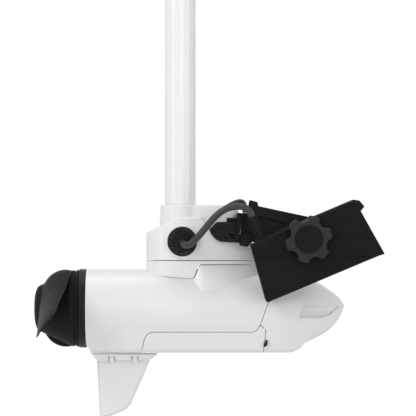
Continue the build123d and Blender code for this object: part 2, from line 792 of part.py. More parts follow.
save(skeg, "skeg")

# ---------------------------------------------------------------- transducer bracket on the pod
WING_OUTLINE = [
    (64, -18.4),
    (39.0, -18.4),
    (30.6, -26.4),
    (33.6, -32.4),
    (38.0, -37.2),
    (42.6, -39.4),
    (64, -40.8),
]
PLATE_OUTLINE = [(61.0, -8.6), (65.9, -9.2), (62.4, -40.6), (57.6, -40.3)]
FLANGE_OUTLINE = [(66.2, -8.6), (70.4, -9.2), (66.8, -42.6), (62.7, -42.2)]

BOLT_Y = -30.0
with BuildPart() as bracket_bolts:
    for z in (-16.5, -34.0):
        head_x = 68.4 + 0.107 * (z + 25)
        with BuildSketch(Plane.YZ.offset(head_x - 20)):
            with Locations((BOLT_Y, z)):
                Circle(2.5)
        extrude(amount=20)
        with BuildSketch(Plane.YZ.offset(head_x)):
            with Locations((BOLT_Y, z)):
                RegularPolygon(4.6, 6)
        extrude(amount=4.4)
save(bracket_bolts, "bracket_bolts")

with BuildPart() as bracket_base:
    with BuildSketch(side(-34.0)) as wing:
        Polygon(*WING_OUTLINE, align=None)
        fillet(wing.vertices().sort_by(Axis.X)[:5], 2.4)
    extrude(amount=-24)
    fillet(bracket_base.faces().sort_by(Axis.Y)[0].edges(), 2.2)
    with BuildSketch(side(-34.0)):  # a hollow inside the wing's lip
        Polygon(*WING_OUTLINE, align=None)
        offset(amount=-3.6, kind=Kind.ARC)
    extrude(amount=-3.2, mode=Mode.SUBTRACT)
    with BuildSketch(side(-33.8)):  # a stiffening rib across the hollow
        Polygon((37.0, -20.6), (40.2, -20.6), (56.4, -38.4), (53.0, -38.6), align=None)
    extrude(amount=-3.4)
    add(pod_upper_shell.part, mode=Mode.SUBTRACT)
    with BuildSketch(side(30)):
        Polygon((61.3, -5), (66, -5), (66, -45), (57.0, -45), align=None)
    extrude(amount=80, mode=Mode.SUBTRACT)
    add(bracket_bolts.part, mode=Mode.SUBTRACT)
save(bracket_base, "bracket_base")

with BuildPart() as bracket_plate:
    with BuildSketch(side(-12)):
        Polygon(*PLATE_OUTLINE, align=None)
    extrude(amount=28)
    fillet(bracket_plate.edges().filter_by(Axis.Y), 0.8)
    add(pod_upper_shell.part, mode=Mode.SUBTRACT)
    add(bracket_bolts.part, mode=Mode.SUBTRACT)
save(bracket_plate, "bracket_plate")

ARM_OUTLINE = [
    (71.8, -3.2),
    (73.4, 4.8),
    (81.8, 2.6),
    (82.8, -1.7),
    (137.0, -13.3),
    (154.0, -30.0),
    (150.0, -50.0),
    (128.0, -56.0),
    (76.0, -39.4),
    (71.6, -44.8),
    (63.2, -43.4),
    (66.6, -27.9),
]
with BuildPart() as bracket_arm:
    with BuildSketch(side(ARM_FAR_Y)) as arm:
        Polygon(*ARM_OUTLINE, align=None)
        fillet(arm.vertices().sort_by(Axis.X)[-4:], 12)
        fillet(arm.vertices().sort_by(Axis.Y)[-2:], 0.8)
        with Locations((KNOB_X, KNOB_Z)):
            Circle(7.5, mode=Mode.SUBTRACT)
        with Locations((66.9, -27.9)):
            Circle(2.05, mode=Mode.SUBTRACT)
    extrude(amount=ARM_FAR_Y - ARM_NEAR_Y)
    chamfer(bracket_arm.faces().sort_by(Axis.Y)[0].outer_wire().edges(), 0.5)
    with BuildSketch(side(ARM_NEAR_Y + 3.6)):  # a stiffening groove along the arm and a slit at the pivot
        with Locations(Location((96.5, -17.0), -13.5)):
            SlotOverall(31, 3.4)
        Polygon((68.6, -27.3), (75.0, -28.8), (74.6, -30.8), (68.2, -29.3), align=None)
    extrude(amount=3.6, mode=Mode.SUBTRACT)
    with BuildSketch(side(-16)):
        Polygon(*FLANGE_OUTLINE, align=None)
    extrude(amount=-ARM_FAR_Y - 16)
    add(pod_upper_shell.part, mode=Mode.SUBTRACT)
    add(bracket_bolts.part, mode=Mode.SUBTRACT)
    with BuildSketch(side(-10)):
        with Locations((66.9, -27.9)):
            Circle(2.05)
    extrude(amount=40, mode=Mode.SUBTRACT)
save(bracket_arm, "bracket_arm")

with BuildPart() as bracket_pivot_pin:
    with BuildSketch(side(-17)):
        with Locations((66.9, -27.9)):
            Circle(2.0)
    extrude(amount=26.2)
    fillet(bracket_pivot_pin.faces().sort_by(Axis.Y)[0].edges(), 0.5)
save(bracket_pivot_pin, "bracket_pivot_pin")

with BuildPart() as arm_nut:  # the captive nut that the knob's bolt draws up
    with BuildSketch(side(ARM_FAR_Y + 1.0)):
        with Locations((KNOB_X, KNOB_Z)):
            Circle(7.48)
            Circle(KNOB_BOLT_R + RUN, mode=Mode.SUBTRACT)
    extrude(amount=6.4)
save(arm_nut, "arm_nut")

# ---------------------------------------------------------------- transducer
HEAD_OUTLINE = [
    (0.0, 0.0),
    (126.8, 0.0),
    (133.0, -0.6),
    (127.3, 50.0),
    (132.7, 53.0),
    (130.2, 60.8),
    (125.4, 63.7),
    (27.4, 63.7),
    (25.4, 62.0),
    (8.1, 62.0),
]
tilt = math.radians(HEAD_TILT)
KNOB_U = math.cos(tilt) * (KNOB_X - HEAD_X) + math.sin(tilt) * (KNOB_Z - HEAD_Z)
KNOB_V = -math.sin(tilt) * (KNOB_X - HEAD_X) + math.cos(tilt) * (KNOB_Z - HEAD_Z)
BAND_TOP_Z, BAND_FOOT_Z = -34.3, -54.2
WINDOW_U = (14.0, 112.0)


with BuildPart() as transducer_screws:
    with BuildSketch(head_plane(HEAD_FAR_Y)):
        with Locations((13, 53), (118, 53), (8, 8), (120, 8)):
            Circle(1.5)
    extrude(amount=32)
    with BuildSketch(head_plane(HEAD_FAR_Y)):
        with Locations((13, 53), (118, 53), (8, 8), (120, 8)):
            Circle(2.8)
    extrude(amount=1.8)
save(transducer_screws, "transducer_screws")


with BuildPart() as raised_band:  # the slightly proud band across the near face
    with BuildSketch(head_plane(HEAD_NEAR_Y + 1)):
        Polygon(*HEAD_OUTLINE, align=None)
        offset(amount=-2.2, kind=Kind.INTERSECTION)
    extrude(amount=2.3)
    with BuildSketch(side(-60)):
        with Locations((145, (BAND_TOP_Z + BAND_FOOT_Z) / 2)):
            Rectangle(190, BAND_TOP_Z - BAND_FOOT_Z)
    extrude(amount=60, mode=Mode.INTERSECT)
    chamfer(raised_band.faces().sort_by(Axis.Y)[0].edges(), 1.2)


def head_shell(name: str, near_y: float, far_y: float, near: bool) -> None:
    """One half of the transducer's casing, hollow towards the split between the halves."""
    with BuildPart() as shell:
        with BuildSketch(head_plane(far_y)) as outline:
            Polygon(*HEAD_OUTLINE, align=None)
            fillet(outline.vertices().sort_by(Axis.X)[0], 2.4)
        extrude(amount=far_y - near_y)
        chamfer(shell.faces().sort_by(Axis.Y)[0 if near else -1].outer_wire().edges(), 1.9)
        if near:
            add(raised_band.part)
        with BuildSketch(head_plane(far_y if near else far_y - HEAD_WALL)):
            Polygon(*HEAD_OUTLINE[:4], (127.3, 60.0), (9.0, 60.0), align=None)
            offset(amount=-HEAD_WALL, kind=Kind.INTERSECTION)
            with Locations((KNOB_U, KNOB_V)):
                Circle(9.0, mode=Mode.SUBTRACT)
        extrude(amount=far_y - near_y - HEAD_WALL, mode=Mode.SUBTRACT)
        with BuildSketch(head_plane(0)):
            with Locations((KNOB_U, KNOB_V)):
                Circle(KNOB_BOLT_R + RUN)
        extrude(amount=120, mode=Mode.SUBTRACT)
        with BuildSketch(head_plane(-52)):
            with Locations(((WINDOW_U[0] + WINDOW_U[1]) / 2, 0)):
                Rectangle(WINDOW_U[1] - WINDOW_U[0], 12)
        extrude(amount=36, mode=Mode.SUBTRACT)
        add(transducer_screws.part, mode=Mode.SUBTRACT)
    save(shell, name)


head_shell("transducer_near_shell", HEAD_NEAR_Y, HEAD_SPLIT_Y - 0.15, True)
head_shell("transducer_far_shell", HEAD_SPLIT_Y + 0.15, HEAD_FAR_Y, False)

with BuildPart() as array_window:
    with BuildSketch(head_plane(-52.05)):
        with Locations(((WINDOW_U[0] + WINDOW_U[1]) / 2, 2.2)):
            Rectangle(WINDOW_U[1] - WINDOW_U[0] - 0.1, 3.4)
    extrude(amount=35.9)
save(array_window, "array_window")

with BuildPart() as array_elements:
    with BuildSketch(head_plane(-56)):
        with GridLocations(30, 1, 3, 1):
            with Locations((63, 10.5)):
                Rectangle(26, 12)
    extrude(amount=28)
save(array_elements, "array_elements")

with BuildPart() as transducer_board:
    with BuildSketch(head_plane(-72)):
        with Locations((38, 34)):
            Rectangle(34, 26)
    extrude(amount=1.6)
    with BuildSketch(head_plane(-73.6)):
        with Locations((38, 34)):
            with GridLocations(14, 12, 2, 2):
                Rectangle(8, 7)
    extrude(amount=2.2)
save(transducer_board, "transducer_board")

BOOT_U, BOOT_Y = 21.5, -69.0
BOOT_FOOT_V, BOOT_TIP_V = 62.0, 87.5


def head_point(u: float, v: float) -> tuple:
    """X and Z of a point in the transducer's own plane."""
    return (
        HEAD_X + u * math.cos(tilt) - v * math.sin(tilt),
        HEAD_Z + u * math.sin(tilt) + v * math.cos(tilt),
    )


boot_x, boot_z = head_point(BOOT_U, BOOT_FOOT_V)
boot_plane = Plane(
    origin=(boot_x, BOOT_Y, boot_z),
    x_dir=(math.cos(tilt), 0, math.sin(tilt)),
    z_dir=(-math.sin(tilt), 0, math.cos(tilt)),
)
BOOT_LENGTH = BOOT_TIP_V - BOOT_FOOT_V
with BuildPart() as strain_relief_boot:
    with BuildSketch(boot_plane):
        RectangleRounded(14.8, 14.0, 4.5)
    with BuildSketch(boot_plane.offset(BOOT_LENGTH)):
        RectangleRounded(10.4, 9.0, 4.0)
    loft()
    for step in range(7):  # slots that let it bend, round a core and between two spines
        with BuildSketch(boot_plane.offset(4.0 + 2.9 * step)):
            Rectangle(20, 20)
            Circle(4.2, mode=Mode.SUBTRACT)
            Rectangle(3.8, 20, mode=Mode.SUBTRACT)
        extrude(amount=1.4, mode=Mode.SUBTRACT)
    with BuildSketch(head_plane(0)):
        Polygon(*HEAD_OUTLINE, align=None)
    extrude(amount=120, mode=Mode.SUBTRACT)
save(strain_relief_boot, "strain_relief_boot")

# ---------------------------------------------------------------- clamp knob
knob_back = Plane(origin=(KNOB_X, KNOB_BACK_Y, KNOB_Z), x_dir=(1, 0, 0), z_dir=(0, -1, 0))
KNOB_DEPTH = KNOB_BACK_Y - KNOB_FACE_Y
with BuildPart() as clamp_knob:
    with BuildSketch(knob_back) as lobes:
        Circle(KNOB_R)
        with PolarLocations(26.6, 6, start_angle=46):
            Circle(7.4, mode=Mode.SUBTRACT)
        fillet(lobes.vertices(), 1.8)
    extrude(amount=KNOB_DEPTH)
    chamfer(clamp_knob.faces().sort_by(Axis.Y)[0].edges(), 1.8)
    with BuildSketch(knob_back.offset(KNOB_DEPTH)):
        Circle(15.3)
    extrude(amount=-2.2, mode=Mode.SUBTRACT)
    with BuildSketch(knob_back):
        Circle(KNOB_BOLT_R)
    extrude(amount=KNOB_DEPTH, mode=Mode.SUBTRACT)
save(clamp_knob, "clamp_knob")

with BuildPart() as knob_cap:
    with BuildSketch(knob_back.offset(KNOB_DEPTH - 2.2)):
        Circle(13.7)
    extrude(amount=3.4)
    fillet(knob_cap.faces().sort_by(Axis.Y)[0].edges(), 0.9)
save(knob_cap, "knob_cap")

with BuildPart() as knob_bolt:
    with BuildSketch(knob_back.offset(KNOB_DEPTH - 2.3)):
        Circle(KNOB_BOLT_R)
    extrude(amount=KNOB_FACE_Y + 2.3 - ARM_FAR_Y - 0.8)
save(knob_bolt, "knob_bolt")

with BuildPart() as knob_washer:
    with BuildSketch(knob_back):
        Circle(11.0)
        Circle(KNOB_BOLT_R, mode=Mode.SUBTRACT)
    extrude(amount=-1.6)
save(knob_washer, "knob_washer")

# ---------------------------------------------------------------- leads
def lead(name: str, route: list, radius: float) -> None:
    """A lead as straight runs joined by arcs that are as large as their runs allow."""
    radii = []
    for before, corner, after in zip(route, route[1:], route[2:]):
        run_in, run_out = Vector(*corner) - Vector(*before), Vector(*after) - Vector(*corner)
        turn = math.radians(run_in.get_angle(run_out))
        radii.append(0.45 * min(run_in.length, run_out.length) / math.tan(turn / 2))
    with BuildPart() as piece:
        with BuildLine() as path:
            FilletPolyline(*route, radius=radii)
        start = path.wires()[0]
        with BuildSketch(Plane(origin=start @ 0, z_dir=start % 0)):
            Circle(radius)
        sweep()
    length = path.wires()[0].length
    print(name, "radii", [round(r, 1) for r in radii], "length", round(length, 1),
          "volume ratio", round(piece.part.volume / (length * math.pi * radius**2), 4))
    save(piece, name)


boot_tip = head_point(BOOT_U, BOOT_TIP_V + 0.02)
SONAR_LEAD_ROUTE = [
    (GLAND_X, -33.2, GLAND_Z - 0.6),
    (3.2, -44.5, -42.2),
    (9.5, -53.0, -43.6),
    (19.5, -58.5, -34.0),
    (29.5, -61.8, -21.5),
    (38.5, -64.5, -11.2),
    (48.0, -66.8, -4.4),
    (58.5, -68.2, -2.0),
    (67.5, BOOT_Y, -2.4),
    (73.6, BOOT_Y, -7.2),
    (boot_tip[0], BOOT_Y, boot_tip[1]),
]
lead("sonar_lead", SONAR_LEAD_ROUTE, LEAD_R)

GUIDE_LEAD_ROUTE = [
    (GLAND_X + 6.6, -33.2, GLAND_Z - 2.8),
    (11.0, -40.0, -41.0),
    (16.8, -45.0, -36.6),
    (24.8, -48.0, -27.4),
    (33.2, -49.6, -17.4),
    (41.4, -49.8, -8.8),
    (50.2, -48.4, -1.9),
    (58.4, -45.0, 2.3),
    (64.4, -40.0, 3.6),
    (67.9, -34.6, 1.4),
    (68.8, -31.2, -3.4),
    (68.6, -30.2, -8.2),
]
lead("guide_lead", GUIDE_LEAD_ROUTE, GUIDE_LEAD_R)
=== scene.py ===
"""Lower unit of a bow-mount trolling motor: finished surfaces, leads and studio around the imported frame."""

import logging
import math
from dataclasses import dataclass, field
from enum import Enum

import bmesh
import bpy
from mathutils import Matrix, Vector


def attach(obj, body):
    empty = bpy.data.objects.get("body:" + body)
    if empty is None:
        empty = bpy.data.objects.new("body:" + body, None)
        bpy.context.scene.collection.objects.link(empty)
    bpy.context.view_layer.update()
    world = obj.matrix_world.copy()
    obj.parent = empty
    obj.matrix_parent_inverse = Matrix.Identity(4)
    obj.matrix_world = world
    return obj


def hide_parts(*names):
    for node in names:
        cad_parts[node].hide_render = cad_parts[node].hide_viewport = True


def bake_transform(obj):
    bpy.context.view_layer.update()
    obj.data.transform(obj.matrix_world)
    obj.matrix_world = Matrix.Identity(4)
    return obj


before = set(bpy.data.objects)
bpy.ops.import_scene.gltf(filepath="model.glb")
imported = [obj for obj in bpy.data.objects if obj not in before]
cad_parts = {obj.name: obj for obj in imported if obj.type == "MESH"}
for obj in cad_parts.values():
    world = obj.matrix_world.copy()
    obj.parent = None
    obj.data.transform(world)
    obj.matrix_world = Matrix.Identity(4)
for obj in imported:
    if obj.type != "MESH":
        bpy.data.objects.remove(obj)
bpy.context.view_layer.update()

MM = 0.001
Point = tuple[float, float, float]
Colour = tuple[float, float, float]
STREAK_STRETCH = 0.02  # how little a drawn grain changes along its own axis
FINE_TONE = 0.12  # the roughness drifts over this share of the colour's distance
log = logging.getLogger("trolling_motor")


# ---------------------------------------------------------------- finishes
class Grain(Enum):
    """The small surface relief that a way of making leaves."""

    PAINTED = "painted"
    MOULDED = "moulded"
    DRAWN = "drawn"
    CAST = "cast"


@dataclass(frozen=True)
class Finish:
    """One surface finish and the procedural material that shows it.

    Sizes are millimetres. The relief and the tone both follow the object's own coordinates.
    """

    name: str
    colour: Colour
    shade: Colour
    roughness: float
    grain: Grain = Grain.MOULDED
    grain_size: float = 0.6
    relief: float = 0.01
    tone_size: float = 40.0
    specular: float = 0.5
    coat: float = 0.0
    coat_roughness: float = 0.1
    metallic: float = 0.0
    roughness_spread: float = 0.05
    streak_axis: int = 2

    def material(self) -> bpy.types.Material:
        """Make the material once and hand back the same one afterwards.

        Returns:
            The Blender material of this finish.
        """
        made = bpy.data.materials.get(self.name)
        if made:
            return made
        made = bpy.data.materials.new(self.name)
        made.use_nodes = True
        tree = made.node_tree
        tree.nodes.clear()
        output = tree.nodes.new("ShaderNodeOutputMaterial")
        shader = tree.nodes.new("ShaderNodeBsdfPrincipled")
        tree.links.new(shader.outputs["BSDF"], output.inputs["Surface"])
        shader.inputs["Metallic"].default_value = self.metallic
        shader.inputs["Specular IOR Level"].default_value = self.specular
        shader.inputs["Coat Weight"].default_value = self.coat
        shader.inputs["Coat Roughness"].default_value = self.coat_roughness
        coordinates = tree.nodes.new("ShaderNodeTexCoord")
        self._tone(tree, shader, coordinates)
        self._surface(tree, shader, coordinates)
        return made

    def _noise(self, tree, coordinates, size: float, detail: float, stretch: bool = False):
        """A noise texture whose features are about size millimetres, drawn out along one axis if asked."""
        mapping = tree.nodes.new("ShaderNodeMapping")
        tree.links.new(coordinates.outputs["Object"], mapping.inputs["Vector"])
        scale = [1.0, 1.0, 1.0]
        if stretch:
            scale[self.streak_axis] = STREAK_STRETCH
        mapping.inputs["Scale"].default_value = scale
        noise = tree.nodes.new("ShaderNodeTexNoise")
        noise.inputs["Scale"].default_value = 1.0 / (size * MM)
        noise.inputs["Detail"].default_value = detail
        noise.inputs["Roughness"].default_value = 0.55
        tree.links.new(mapping.outputs["Vector"], noise.inputs["Vector"])
        return noise

    def _tone(self, tree, shader, coordinates) -> None:
        """Let colour and roughness drift gently between the two tones."""
        broad = self._noise(tree, coordinates, self.tone_size, 3.0)
        ramp = tree.nodes.new("ShaderNodeValToRGB")
        ramp.color_ramp.elements[0].position = 0.35
        ramp.color_ramp.elements[0].color = (*self.shade, 1.0)
        ramp.color_ramp.elements[1].position = 0.65
        ramp.color_ramp.elements[1].color = (*self.colour, 1.0)
        tree.links.new(broad.outputs["Fac"], ramp.inputs["Fac"])
        tree.links.new(ramp.outputs["Color"], shader.inputs["Base Color"])
        fine = self._noise(tree, coordinates, self.tone_size * FINE_TONE, 4.0, self.grain is Grain.DRAWN)
        spread = tree.nodes.new("ShaderNodeMapRange")
        spread.inputs["From Min"].default_value = 0.3
        spread.inputs["From Max"].default_value = 0.7
        spread.inputs["To Min"].default_value = self.roughness - self.roughness_spread
        spread.inputs["To Max"].default_value = self.roughness + self.roughness_spread
        tree.links.new(fine.outputs["Fac"], spread.inputs["Value"])
        tree.links.new(spread.outputs["Result"], shader.inputs["Roughness"])

    def _surface(self, tree, shader, coordinates) -> None:
        """Add the relief of the grain as a bump."""
        bump = tree.nodes.new("ShaderNodeBump")
        bump.inputs["Strength"].default_value = 1.0
        bump.inputs["Distance"].default_value = self.relief * MM
        if self.grain is Grain.MOULDED:
            source = tree.nodes.new("ShaderNodeTexVoronoi")
            source.feature = "SMOOTH_F1"
            source.inputs["Scale"].default_value = 1.0 / (self.grain_size * MM)
            tree.links.new(coordinates.outputs["Object"], source.inputs["Vector"])
            height = source.outputs["Distance"]
        else:
            detail = 6.0 if self.grain is Grain.CAST else 1.5
            stretched = self.grain is Grain.DRAWN
            height = self._noise(tree, coordinates, self.grain_size, detail, stretched).outputs["Fac"]
        tree.links.new(height, bump.inputs["Height"])
        tree.links.new(bump.outputs["Normal"], shader.inputs["Normal"])


WHITE_PAINT = Finish(
    "white_paint", (0.80, 0.80, 0.805), (0.775, 0.778, 0.785), 0.36, Grain.PAINTED, 2.2, 0.012, 90.0,
    coat=0.25, coat_roughness=0.16, roughness_spread=0.03,
)
WHITE_SHAFT = Finish(
    "white_shaft_gelcoat", (0.84, 0.84, 0.845), (0.82, 0.822, 0.828), 0.26, Grain.DRAWN, 1.2, 0.008, 60.0,
    coat=0.6, coat_roughness=0.07, roughness_spread=0.03, streak_axis=2,
)
BLACK_TEXTURED = Finish(
    "black_textured_plastic", (0.0066, 0.0066, 0.0068), (0.0052, 0.0052, 0.0054), 0.52, Grain.MOULDED, 0.55,
    0.05, 30.0, specular=0.12,
)
KNOB_PLASTIC = Finish(
    "knob_plastic", (0.0115, 0.0115, 0.0118), (0.0090, 0.0090, 0.0092), 0.44, Grain.MOULDED, 0.5, 0.03, 24.0,
    specular=0.34,
)
BLACK_SATIN = Finish(
    "black_satin_plastic", (0.0085, 0.0085, 0.0088), (0.0068, 0.0068, 0.0070), 0.42, Grain.PAINTED, 1.4,
    0.01, 26.0, specular=0.22,
)
PROPELLER_NYLON = Finish(
    "propeller_nylon", (0.0165, 0.0165, 0.0168), (0.0135, 0.0135, 0.0138), 0.5, Grain.PAINTED, 1.4, 0.01,
    26.0, specular=0.06,
)
BLACK_METAL = Finish(
    "black_powder_coat", (0.007, 0.007, 0.0072), (0.0052, 0.0052, 0.0054), 0.46, Grain.PAINTED, 0.8, 0.02,
    22.0, specular=0.16,
)
RUBBER = Finish(
    "black_rubber", (0.0098, 0.0098, 0.0100), (0.0072, 0.0072, 0.0074), 0.6, Grain.MOULDED, 0.4, 0.03, 12.0,
    specular=0.18,
)
LEAD_JACKET = Finish(
    "lead_jacket", (0.0105, 0.0105, 0.0108), (0.0082, 0.0082, 0.0084), 0.44, Grain.PAINTED, 0.7, 0.02, 14.0,
    specular=0.16,
)
STAINLESS = Finish(
    "stainless_steel", (0.62, 0.62, 0.63), (0.55, 0.55, 0.56), 0.28, Grain.DRAWN, 0.4, 0.004, 8.0,
    metallic=1.0, streak_axis=0,
)
BEARING_STEEL = Finish(
    "bearing_steel", (0.72, 0.72, 0.73), (0.66, 0.66, 0.67), 0.14, Grain.DRAWN, 0.3, 0.002, 6.0,
    metallic=1.0, streak_axis=0,
)
COPPER = Finish(
    "enamelled_copper", (0.62, 0.30, 0.14), (0.50, 0.22, 0.09), 0.3, Grain.DRAWN, 0.7, 0.12, 5.0,
    metallic=0.9, coat=0.5, streak_axis=0,
)
LAMINATION = Finish(
    "steel_laminations", (0.30, 0.30, 0.31), (0.22, 0.22, 0.23), 0.42, Grain.CAST, 0.5, 0.03, 6.0,
    metallic=1.0,
)
MAGNET = Finish(
    "plated_magnet", (0.50, 0.50, 0.52), (0.42, 0.42, 0.44), 0.24, Grain.CAST, 0.8, 0.006, 10.0,
    metallic=1.0,
)
BOARD = Finish(
    "circuit_board", (0.012, 0.13, 0.05), (0.008, 0.09, 0.035), 0.38, Grain.PAINTED, 0.9, 0.02, 4.0,
    coat=0.3,
)
ZINC = Finish(
    "cast_zinc", (0.46, 0.47, 0.49), (0.34, 0.35, 0.37), 0.62, Grain.CAST, 0.9, 0.05, 5.0, metallic=0.8,
)
CERAMIC = Finish(
    "sonar_ceramic", (0.62, 0.55, 0.42), (0.54, 0.47, 0.35), 0.55, Grain.CAST, 0.6, 0.01, 6.0,
)
BRASS = Finish(
    "brass", (0.72, 0.52, 0.22), (0.62, 0.43, 0.17), 0.3, Grain.DRAWN, 0.4, 0.004, 6.0, metallic=1.0,
)


# ---------------------------------------------------------------- shared making
def dress(nodes: dict[str, Finish]) -> None:
    """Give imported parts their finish.

    Args:
        nodes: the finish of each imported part, by its name.
    """
    for name, finish in nodes.items():
        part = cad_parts[name]
        for slot in part.material_slots:
            slot.material = finish.material()
        log.info("%s: %s", name, finish.name)


def mesh_object(name: str, points: list[Vector], faces: list[list[int]], finish: Finish) -> bpy.types.Object:
    """Make a smooth mesh object with one finish.

    Args:
        name: the piece's name.
        points: corner points in metres.
        faces: lists of corner numbers.
        finish: the finish of the whole piece.

    Returns:
        The new object, linked to the scene.
    """
    mesh = bpy.data.meshes.new(name)
    mesh.from_pydata([tuple(point) for point in points], [], faces)
    work = bmesh.new()
    work.from_mesh(mesh)
    bmesh.ops.recalc_face_normals(work, faces=work.faces)
    work.to_mesh(mesh)
    work.free()
    mesh.shade_smooth()
    mesh.materials.append(finish.material())
    made = bpy.data.objects.new(name, mesh)
    bpy.context.scene.collection.objects.link(made)
    return made


def skin(rings: list[list[Vector]]) -> tuple[list[Vector], list[list[int]]]:
    """Join rings of equal size into a skin, with a fan closing each end.

    Args:
        rings: each ring's points, in the same order round.

    Returns:
        The points and faces of the skin.
    """
    count = len(rings[0])
    points = [point for ring in rings for point in ring]
    faces = []
    for row in range(len(rings) - 1):
        low, high = row * count, (row + 1) * count
        for step in range(count):
            after = (step + 1) % count
            faces.append([low + step, low + after, high + after, high + step])
    for start, ring in ((0, rings[0]), ((len(rings) - 1) * count, rings[-1])):
        points.append(sum(ring, Vector()) / count)
        middle = len(points) - 1
        faces += [[middle, start + step, start + (step + 1) % count] for step in range(count)]
    return points, faces


# ---------------------------------------------------------------- studio
@dataclass
class Studio:
    """The camera, the soft lights, the pale floor and the white surround."""

    camera_place: Point = (0.02964, -3.0, -0.003745)
    lens: float = 242.6
    floor_z: float = -0.6
    floor_radius: float = 4.9
    floor_sides: int = 96
    surround_low: float = 0.60
    surround_white: float = 1.02
    grey_up_to: float = 0.72
    white_from: float = 0.98

    def camera(self) -> None:
        """Stand the camera square to the motor's side."""
        data = bpy.data.cameras.new("camera")
        data.lens = self.lens
        data.sensor_width = 36.0
        data.clip_end = 60.0
        camera = bpy.data.objects.new("camera", data)
        camera.location = self.camera_place
        camera.rotation_euler = (math.radians(90), 0, 0)
        bpy.context.scene.collection.objects.link(camera)
        bpy.context.scene.camera = camera

    def light(self, name: str, place: Point, aim: Point, width: float, height: float, power: float) -> None:
        """Add a soft box.

        Args:
            name: the light's name.
            place: its middle.
            aim: the point it faces.
            width: its width in metres.
            height: its height in metres.
            power: its power in watts.
        """
        data = bpy.data.lights.new(name, "AREA")
        data.shape = "RECTANGLE"
        data.size, data.size_y = width, height
        data.energy = power
        lamp = bpy.data.objects.new(name, data)
        lamp.location = place
        lamp.rotation_euler = (Vector(aim) - Vector(place)).to_track_quat("-Z", "Y").to_euler()
        bpy.context.scene.collection.objects.link(lamp)

    def surround(self) -> None:
        """White ahead and behind, falling off to grey at the sides, overhead and below."""
        world = bpy.data.worlds.new("surround")
        bpy.context.scene.world = world
        world.use_nodes = True
        tree = world.node_tree
        tree.nodes.clear()
        output = tree.nodes.new("ShaderNodeOutputWorld")
        background = tree.nodes.new("ShaderNodeBackground")
        direction = tree.nodes.new("ShaderNodeTexCoord")
        split = tree.nodes.new("ShaderNodeSeparateXYZ")
        facing = tree.nodes.new("ShaderNodeMath")
        facing.operation = "ABSOLUTE"
        ramp = tree.nodes.new("ShaderNodeValToRGB")
        ramp.color_ramp.interpolation = "EASE"
        ramp.color_ramp.elements[0].position = self.grey_up_to
        ramp.color_ramp.elements[0].color = (self.surround_low,) * 3 + (1.0,)
        ramp.color_ramp.elements[1].position = self.white_from
        ramp.color_ramp.elements[1].color = (self.surround_white,) * 3 + (1.0,)
        tree.links.new(direction.outputs["Generated"], split.inputs["Vector"])
        tree.links.new(split.outputs["Y"], facing.inputs[0])
        tree.links.new(facing.outputs["Value"], ramp.inputs["Fac"])
        tree.links.new(ramp.outputs["Color"], background.inputs["Color"])
        tree.links.new(background.outputs["Background"], output.inputs["Surface"])

    def floor(self) -> None:
        """A wide pale disc well below the hanging motor."""
        rim = [
            Vector((math.cos(turn) * self.floor_radius, math.sin(turn) * self.floor_radius, self.floor_z))
            for turn in (math.tau * step / self.floor_sides for step in range(self.floor_sides))
        ]
        paper = Finish(
            "studio_paper", (0.80, 0.80, 0.80), (0.78, 0.78, 0.78), 0.7, Grain.CAST, 3.0, 0.02, 900.0,
        )
        disc = mesh_object("studio_floor", rim, [list(range(len(rim)))], paper)

    def build(self) -> None:
        """Set up everything round the object."""
        bpy.context.scene.view_settings.view_transform = "Standard"
        self.camera()
        self.surround()
        self.floor()
        aim = (0.0, 0.0, -0.06)
        self.light("key_softbox", (-1.9, -1.7, 1.7), aim, 1.3, 1.3, 22.0)
        self.light("top_softbox", (0.0, 0.2, 2.1), aim, 1.6, 1.0, 9.0)
        self.light("front_fill", (0.7, -2.6, 0.5), aim, 1.4, 0.9, 5.0)
        self.light("left_strip", (-1.3, -1.1, 0.3), (0.0, 0.0, 0.1), 0.16, 1.6, 3.0)
        self.light("right_fill", (1.9, -1.3, 0.3), aim, 0.6, 1.4, 6.0)


